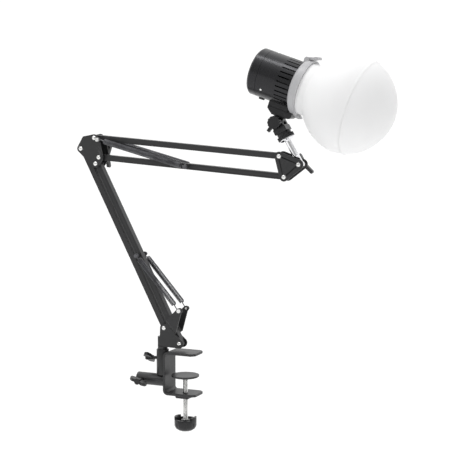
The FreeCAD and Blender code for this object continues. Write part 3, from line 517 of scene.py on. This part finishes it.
# ---- globe -----------------------------------------------------------------------------
def globe_radius(x):
    half = GLOBE_REAR if x < GLOBE_AT else GLOBE_FRONT
    t = abs(x - GLOBE_AT) / half
    return GLOBE_R * max(0.0, 1 - t ** GLOBE_POWER) ** (1 / GLOBE_POWER)


def bead(x, at, width):
    """Height of a small rounded bead moulded round the skin."""
    t = (x - at) / width
    return BEAD * math.exp(-t * t * 3)


def skin_profile(stations, lift):
    """Closed profile of a skin: out along its outside and back along its inside."""
    outer = [(x, r + lift(x)) for x, r in stations]
    inner = []
    for x, r in reversed(stations):
        shift = (x - GLOBE_AT) * SKIN / GLOBE_FRONT if x > NECK_FROM + 0.02 else 0.0
        inner.append((x - shift, max(r - SKIN, 0.0)))
    return outer + inner


def build_globe():
    joint = JOINTS["diffuser_twist"]
    axis = np.array(joint["axis"], float)
    origin = np.array(joint["pos_m"]) - axis * TWIST_AT
    flare = next(x for x in np.arange(NECK_FROM, GLOBE_AT, 0.00025) if globe_radius(x) >= NECK_R)
    neck = [(x, NECK_R) for x in np.linspace(NECK_FROM, flare - 0.0015, 12)]
    shell = [(x, globe_radius(x)) for x in np.linspace(flare + 0.0008, GLOBE_SEAM - 0.0002, 70)]
    turn_in = [(GLOBE_SEAM, globe_radius(GLOBE_SEAM) - 0.0001)]

    def rear_lift(x):
        return bead(x, flare - RIB_BACK, RIB_WIDTH) + bead(x, GLOBE_SEAM, SEAM_WIDTH)

    rear = revolve(skin_profile(neck + shell + turn_in, rear_lift), origin, axis, GLOBE_SEGMENTS)
    piece("globe_rear_shell", *rear, "silicone", "diffuser", ("diffuser_rear",))
    reach = GLOBE_AT + GLOBE_FRONT - GLOBE_SEAM
    nose = [(GLOBE_SEAM + 0.0001, globe_radius(GLOBE_SEAM) - 0.0001)]
    for k in range(1, NOSE_STEPS + 1):
        x = GLOBE_SEAM + reach * math.sin(math.pi / 2 * k / NOSE_STEPS)
        nose.append((x, globe_radius(x)))
    nose[-1] = (nose[-1][0], 0.00004)

    def front_lift(x):
        return bead(x, GLOBE_SEAM, SEAM_WIDTH) if x < GLOBE_SEAM + 0.01 else 0.0

    profile = skin_profile(nose, front_lift)
    vertices, faces = revolve(profile, origin, axis, GLOBE_SEGMENTS, closed=False)
    count = len(profile)
    for k in range(GLOBE_SEGMENTS):               # lip at the seam
        m = (k + 1) % GLOBE_SEGMENTS
        faces.append((k * count + count - 1, m * count + count - 1, m * count, k * count))
    piece("globe_front_shell", vertices, faces, "silicone", "diffuser", ("diffuser_front",))


# ---- welds, marks and figures --------------------------------------------------------------
def build_welds():
    """Weld beads where the socket tubes meet the clamp's strip."""
    strip_low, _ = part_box("clamp_strip")
    low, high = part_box("post_socket")
    centre = low[0] + (high[1] - low[1]) / 2
    radius = (high[1] - low[1]) / 2
    face = strip_low[0]
    half = math.sqrt(max(radius ** 2 - (face - centre) ** 2, 1e-8))
    for label, side in (("left", -1), ("right", 1)):
        path = []
        for k in range(90):
            z = low[2] + 0.004 + (high[2] - low[2] - 0.012) * k / 89
            path.append((face - 0.0009, side * (half + 0.0007), z))
        vertices, faces = tube(path, 0.0012, 10)
        for i in range(90):                       # ripples of the weld pool
            swell = 1.0 + 0.16 * math.sin(i * 1.35) + 0.05 * math.sin(i * 0.41)
            swell *= min(1.0, (i + 1) / 4, (90 - i) / 4)
            centre_point = np.array(path[i])
            for j in range(10):
                v = i * 10 + j
                vertices[v] = centre_point + (vertices[v] - centre_point) * swell
        piece("post_socket_weld_" + label, vertices, faces, "black_coat", "clamp")
    low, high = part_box("side_socket")
    middle = np.array((face - 0.0006, 0.0, (low[2] + high[2]) / 2))
    ring_r = (high[1] - low[1]) / 2 + 0.0006
    path = [middle + ring_r * np.array((0.0, math.cos(a), math.sin(a)))
            for a in np.linspace(math.radians(-215), math.radians(35), 80)]
    vertices, faces = tube(path, 0.0013, 10)
    piece("side_socket_weld", vertices, faces, "black_coat", "clamp")


def lamp_axes():
    joint = JOINTS["diffuser_twist"]
    axis = np.array(joint["axis"], float)
    up = np.array((-axis[2], 0.0, axis[0]))
    origin = np.array(joint["pos_m"]) - axis * TWIST_AT
    return origin, axis, up


def flat_tile(corners, thickness, axis):
    """Vertices and faces of a thin tile standing on its corners towards -axis."""
    low = [np.array(c) for c in corners]
    high = [c - axis * thickness for c in low]
    count = len(low)
    faces = [tuple(range(count)), tuple(count + k for k in reversed(range(count)))]
    faces += [(k, count + k, count + (k + 1) % count, (k + 1) % count) for k in range(count)]
    return low + high, faces


def join_tiles(tiles):
    vertices, faces = [], []
    for v, f in tiles:
        base = len(vertices)
        vertices += v
        faces += [tuple(base + i for i in face) for face in f]
    return vertices, faces


def build_rear_marks():
    """Tick marks round the two dials and generic figures behind the window."""
    origin, axis, up = lamp_axes()
    side = np.array((0.0, 1.0, 0.0))
    tiles = []
    for name in ("brightness_turn", "color_turn"):
        centre = np.array(JOINTS[name]["pos_m"])
        centre = centre - axis * float((centre - origin) @ axis) + axis * 0.0008
        for k in range(11):
            a = math.radians(-60 + 30 * k)
            ray = math.cos(a) * side + math.sin(a) * up
            across = np.cross(axis, ray)
            near, far = centre + ray * 0.0078, centre + ray * (0.0098 if k % 5 == 0 else 0.0090)
            w = 0.00022
            tiles.append(flat_tile([near - across * w, near + across * w, far + across * w,
                                    far - across * w], 0.00008, axis))
    piece("dial_marks", *join_tiles(tiles), "lit_marks", "lamp", smooth=False)
    low, high = (np.array(c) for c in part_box("display_window"))
    centre = (low + high) / 2 - axis * 0.00046
    lit = {"5": "afgcd", "0": "abcdef", "6": "afgecd"}
    bars = {"a": (0, 1, 1), "g": (0, 0, 1), "d": (0, -1, 1), "f": (-1, 0.5, 0), "b": (1, 0.5, 0),
            "e": (-1, -0.5, 0), "c": (1, -0.5, 0)}
    tiles = []
    w, h, t = 0.0011, 0.0022, 0.00022
    for figure, shift in (("5", -0.0072), ("0", -0.0040), ("5", 0.0034), ("6", 0.0066)):
        for key in lit[figure]:
            x, z, level = bars[key]
            mid = centre + side * (shift + x * w) + up * (z * h)
            a, b = (side * (w * 0.85), up * t) if level else (side * t, up * (h * 0.42))
            tiles.append(flat_tile([mid - a - b, mid + a - b, mid + a + b, mid - a + b], 0.00004, axis))
    piece("display_figures", *join_tiles(tiles), "lit_marks", "lamp", smooth=False)


# ---- stage, lights and camera ------------------------------------------------------------------
def build_stage():
    """A very wide pale floor under a white sky."""
    z = cad_low.z - 0.55
    mesh = bpy.data.meshes.new("floor")
    reach = 60.0
    mesh.from_pydata([(-reach, -reach, z), (reach, -reach, z), (reach, reach, z), (-reach, reach, z)],
                     [], [(0, 1, 2, 3)])
    floor = bpy.data.objects.new("floor", mesh)
    bpy.context.collection.objects.link(floor)
    s = Shader("floor_paint")
    s.set(Roughness=0.9, Specular_IOR_Level=0.1)
    tone = s.blend(s.spread(s.noise(0.6), 0.0, 1.0), (0.95, 0.95, 0.95), (0.97, 0.97, 0.97))
    s.link(tone, s.bsdf.inputs["Base Color"])
    mesh.materials.append(s.material)


def build_sky():
    world = bpy.data.worlds.new("studio")
    bpy.context.scene.world = world
    world.use_nodes = True
    tree = world.node_tree
    back = tree.nodes["Background"]
    back.inputs["Color"].default_value = (1.0, 1.0, 1.0, 1.0)

    def node(kind, first, *values, **settings):
        made = tree.nodes.new(kind)
        for key, value in settings.items():
            setattr(made, key, value)
        tree.links.new(first, made.inputs[0])
        for number, value in enumerate(values, 1):
            if isinstance(value, bpy.types.NodeSocket):
                tree.links.new(value, made.inputs[number])
            else:
                made.inputs[number].default_value = value
        return made

    place = tree.nodes.new("ShaderNodeTexCoord").outputs["Generated"]
    ahead = (-math.sin(VIEW_AZIMUTH), math.cos(VIEW_AZIMUTH), 0.0)
    facing = node("ShaderNodeVectorMath", place, ahead, operation="DOT_PRODUCT").outputs["Value"]
    wall = node("ShaderNodeMapRange", facing, *SKY_WALL, interpolation_type="SMOOTHSTEP").outputs[0]
    height = node("ShaderNodeSeparateXYZ", place).outputs["Z"]
    roof = node("ShaderNodeMapRange", height, *SKY_ROOF, interpolation_type="SMOOTHSTEP").outputs[0]
    light = node("ShaderNodeMath", wall, roof, operation="ADD").outputs[0]
    tree.links.new(light, back.inputs["Strength"])


def softbox(name, where, aim, size, power):
    data = bpy.data.lights.new(name, "AREA")
    data.shape = "RECTANGLE"
    data.size, data.size_y = size
    data.energy = power
    obj = bpy.data.objects.new(name, data)
    bpy.context.collection.objects.link(obj)
    obj.location = where
    obj.rotation_mode = "QUATERNION"
    obj.rotation_quaternion = (Vector(aim) - Vector(where)).to_track_quat("-Z", "Y")
    return obj


VIEW_DOWN = math.radians(6.02)
VIEW_DISTANCE = 2.119
FOCAL = 104.17           # millimetres on a 36 mm sensor
AIM_FROM_ORIGIN = Vector((0.0471, 0.0559, 0.2036))


def build_camera():
    back = Vector((math.sin(VIEW_AZIMUTH) * math.cos(VIEW_DOWN),
                   -math.cos(VIEW_AZIMUTH) * math.cos(VIEW_DOWN), math.sin(VIEW_DOWN)))
    data = bpy.data.cameras.new("camera")
    data.lens = FOCAL
    data.sensor_width = 36.0
    data.clip_start, data.clip_end = 0.05, 200.0
    camera = bpy.data.objects.new("camera", data)
    bpy.context.collection.objects.link(camera)
    camera.location = AIM_FROM_ORIGIN + back * VIEW_DISTANCE
    camera.rotation_mode = "QUATERNION"
    camera.rotation_quaternion = (-back).to_track_quat("-Z", "Y")
    bpy.context.scene.camera = camera
    return camera


def build_lights():
    centre = (cad_low + cad_high) / 2
    softbox("key", centre + Vector((-1.1, -1.5, 1.2)), centre + Vector((0, 0, 0.1)), (0.6, 1.0), 5.0)
    lamp = Vector(JOINTS["diffuser_twist"]["pos_m"])
    strip = softbox("strip", lamp + Vector((-0.08, -0.29, 1.07)), lamp, (0.7, 0.16), 3.4)
    tip = Matrix(((1, 0, 0), (0, 0.9652, -0.2616), (0, 0.2616, 0.9652)))     # long side along X
    strip.rotation_quaternion = tip.to_quaternion()
    softbox("fill", centre + Vector((1.7, -1.5, 0.5)), centre + Vector((0, 0, 0.2)), (1.2, 1.2), 3.5)


dress_cad_nodes()
build_springs()
build_clamp_screw()
build_globe()
build_welds()
build_rear_marks()
build_stage()
build_sky()
build_lights()
build_camera()
bpy.context.scene.view_settings.view_transform = "Standard"
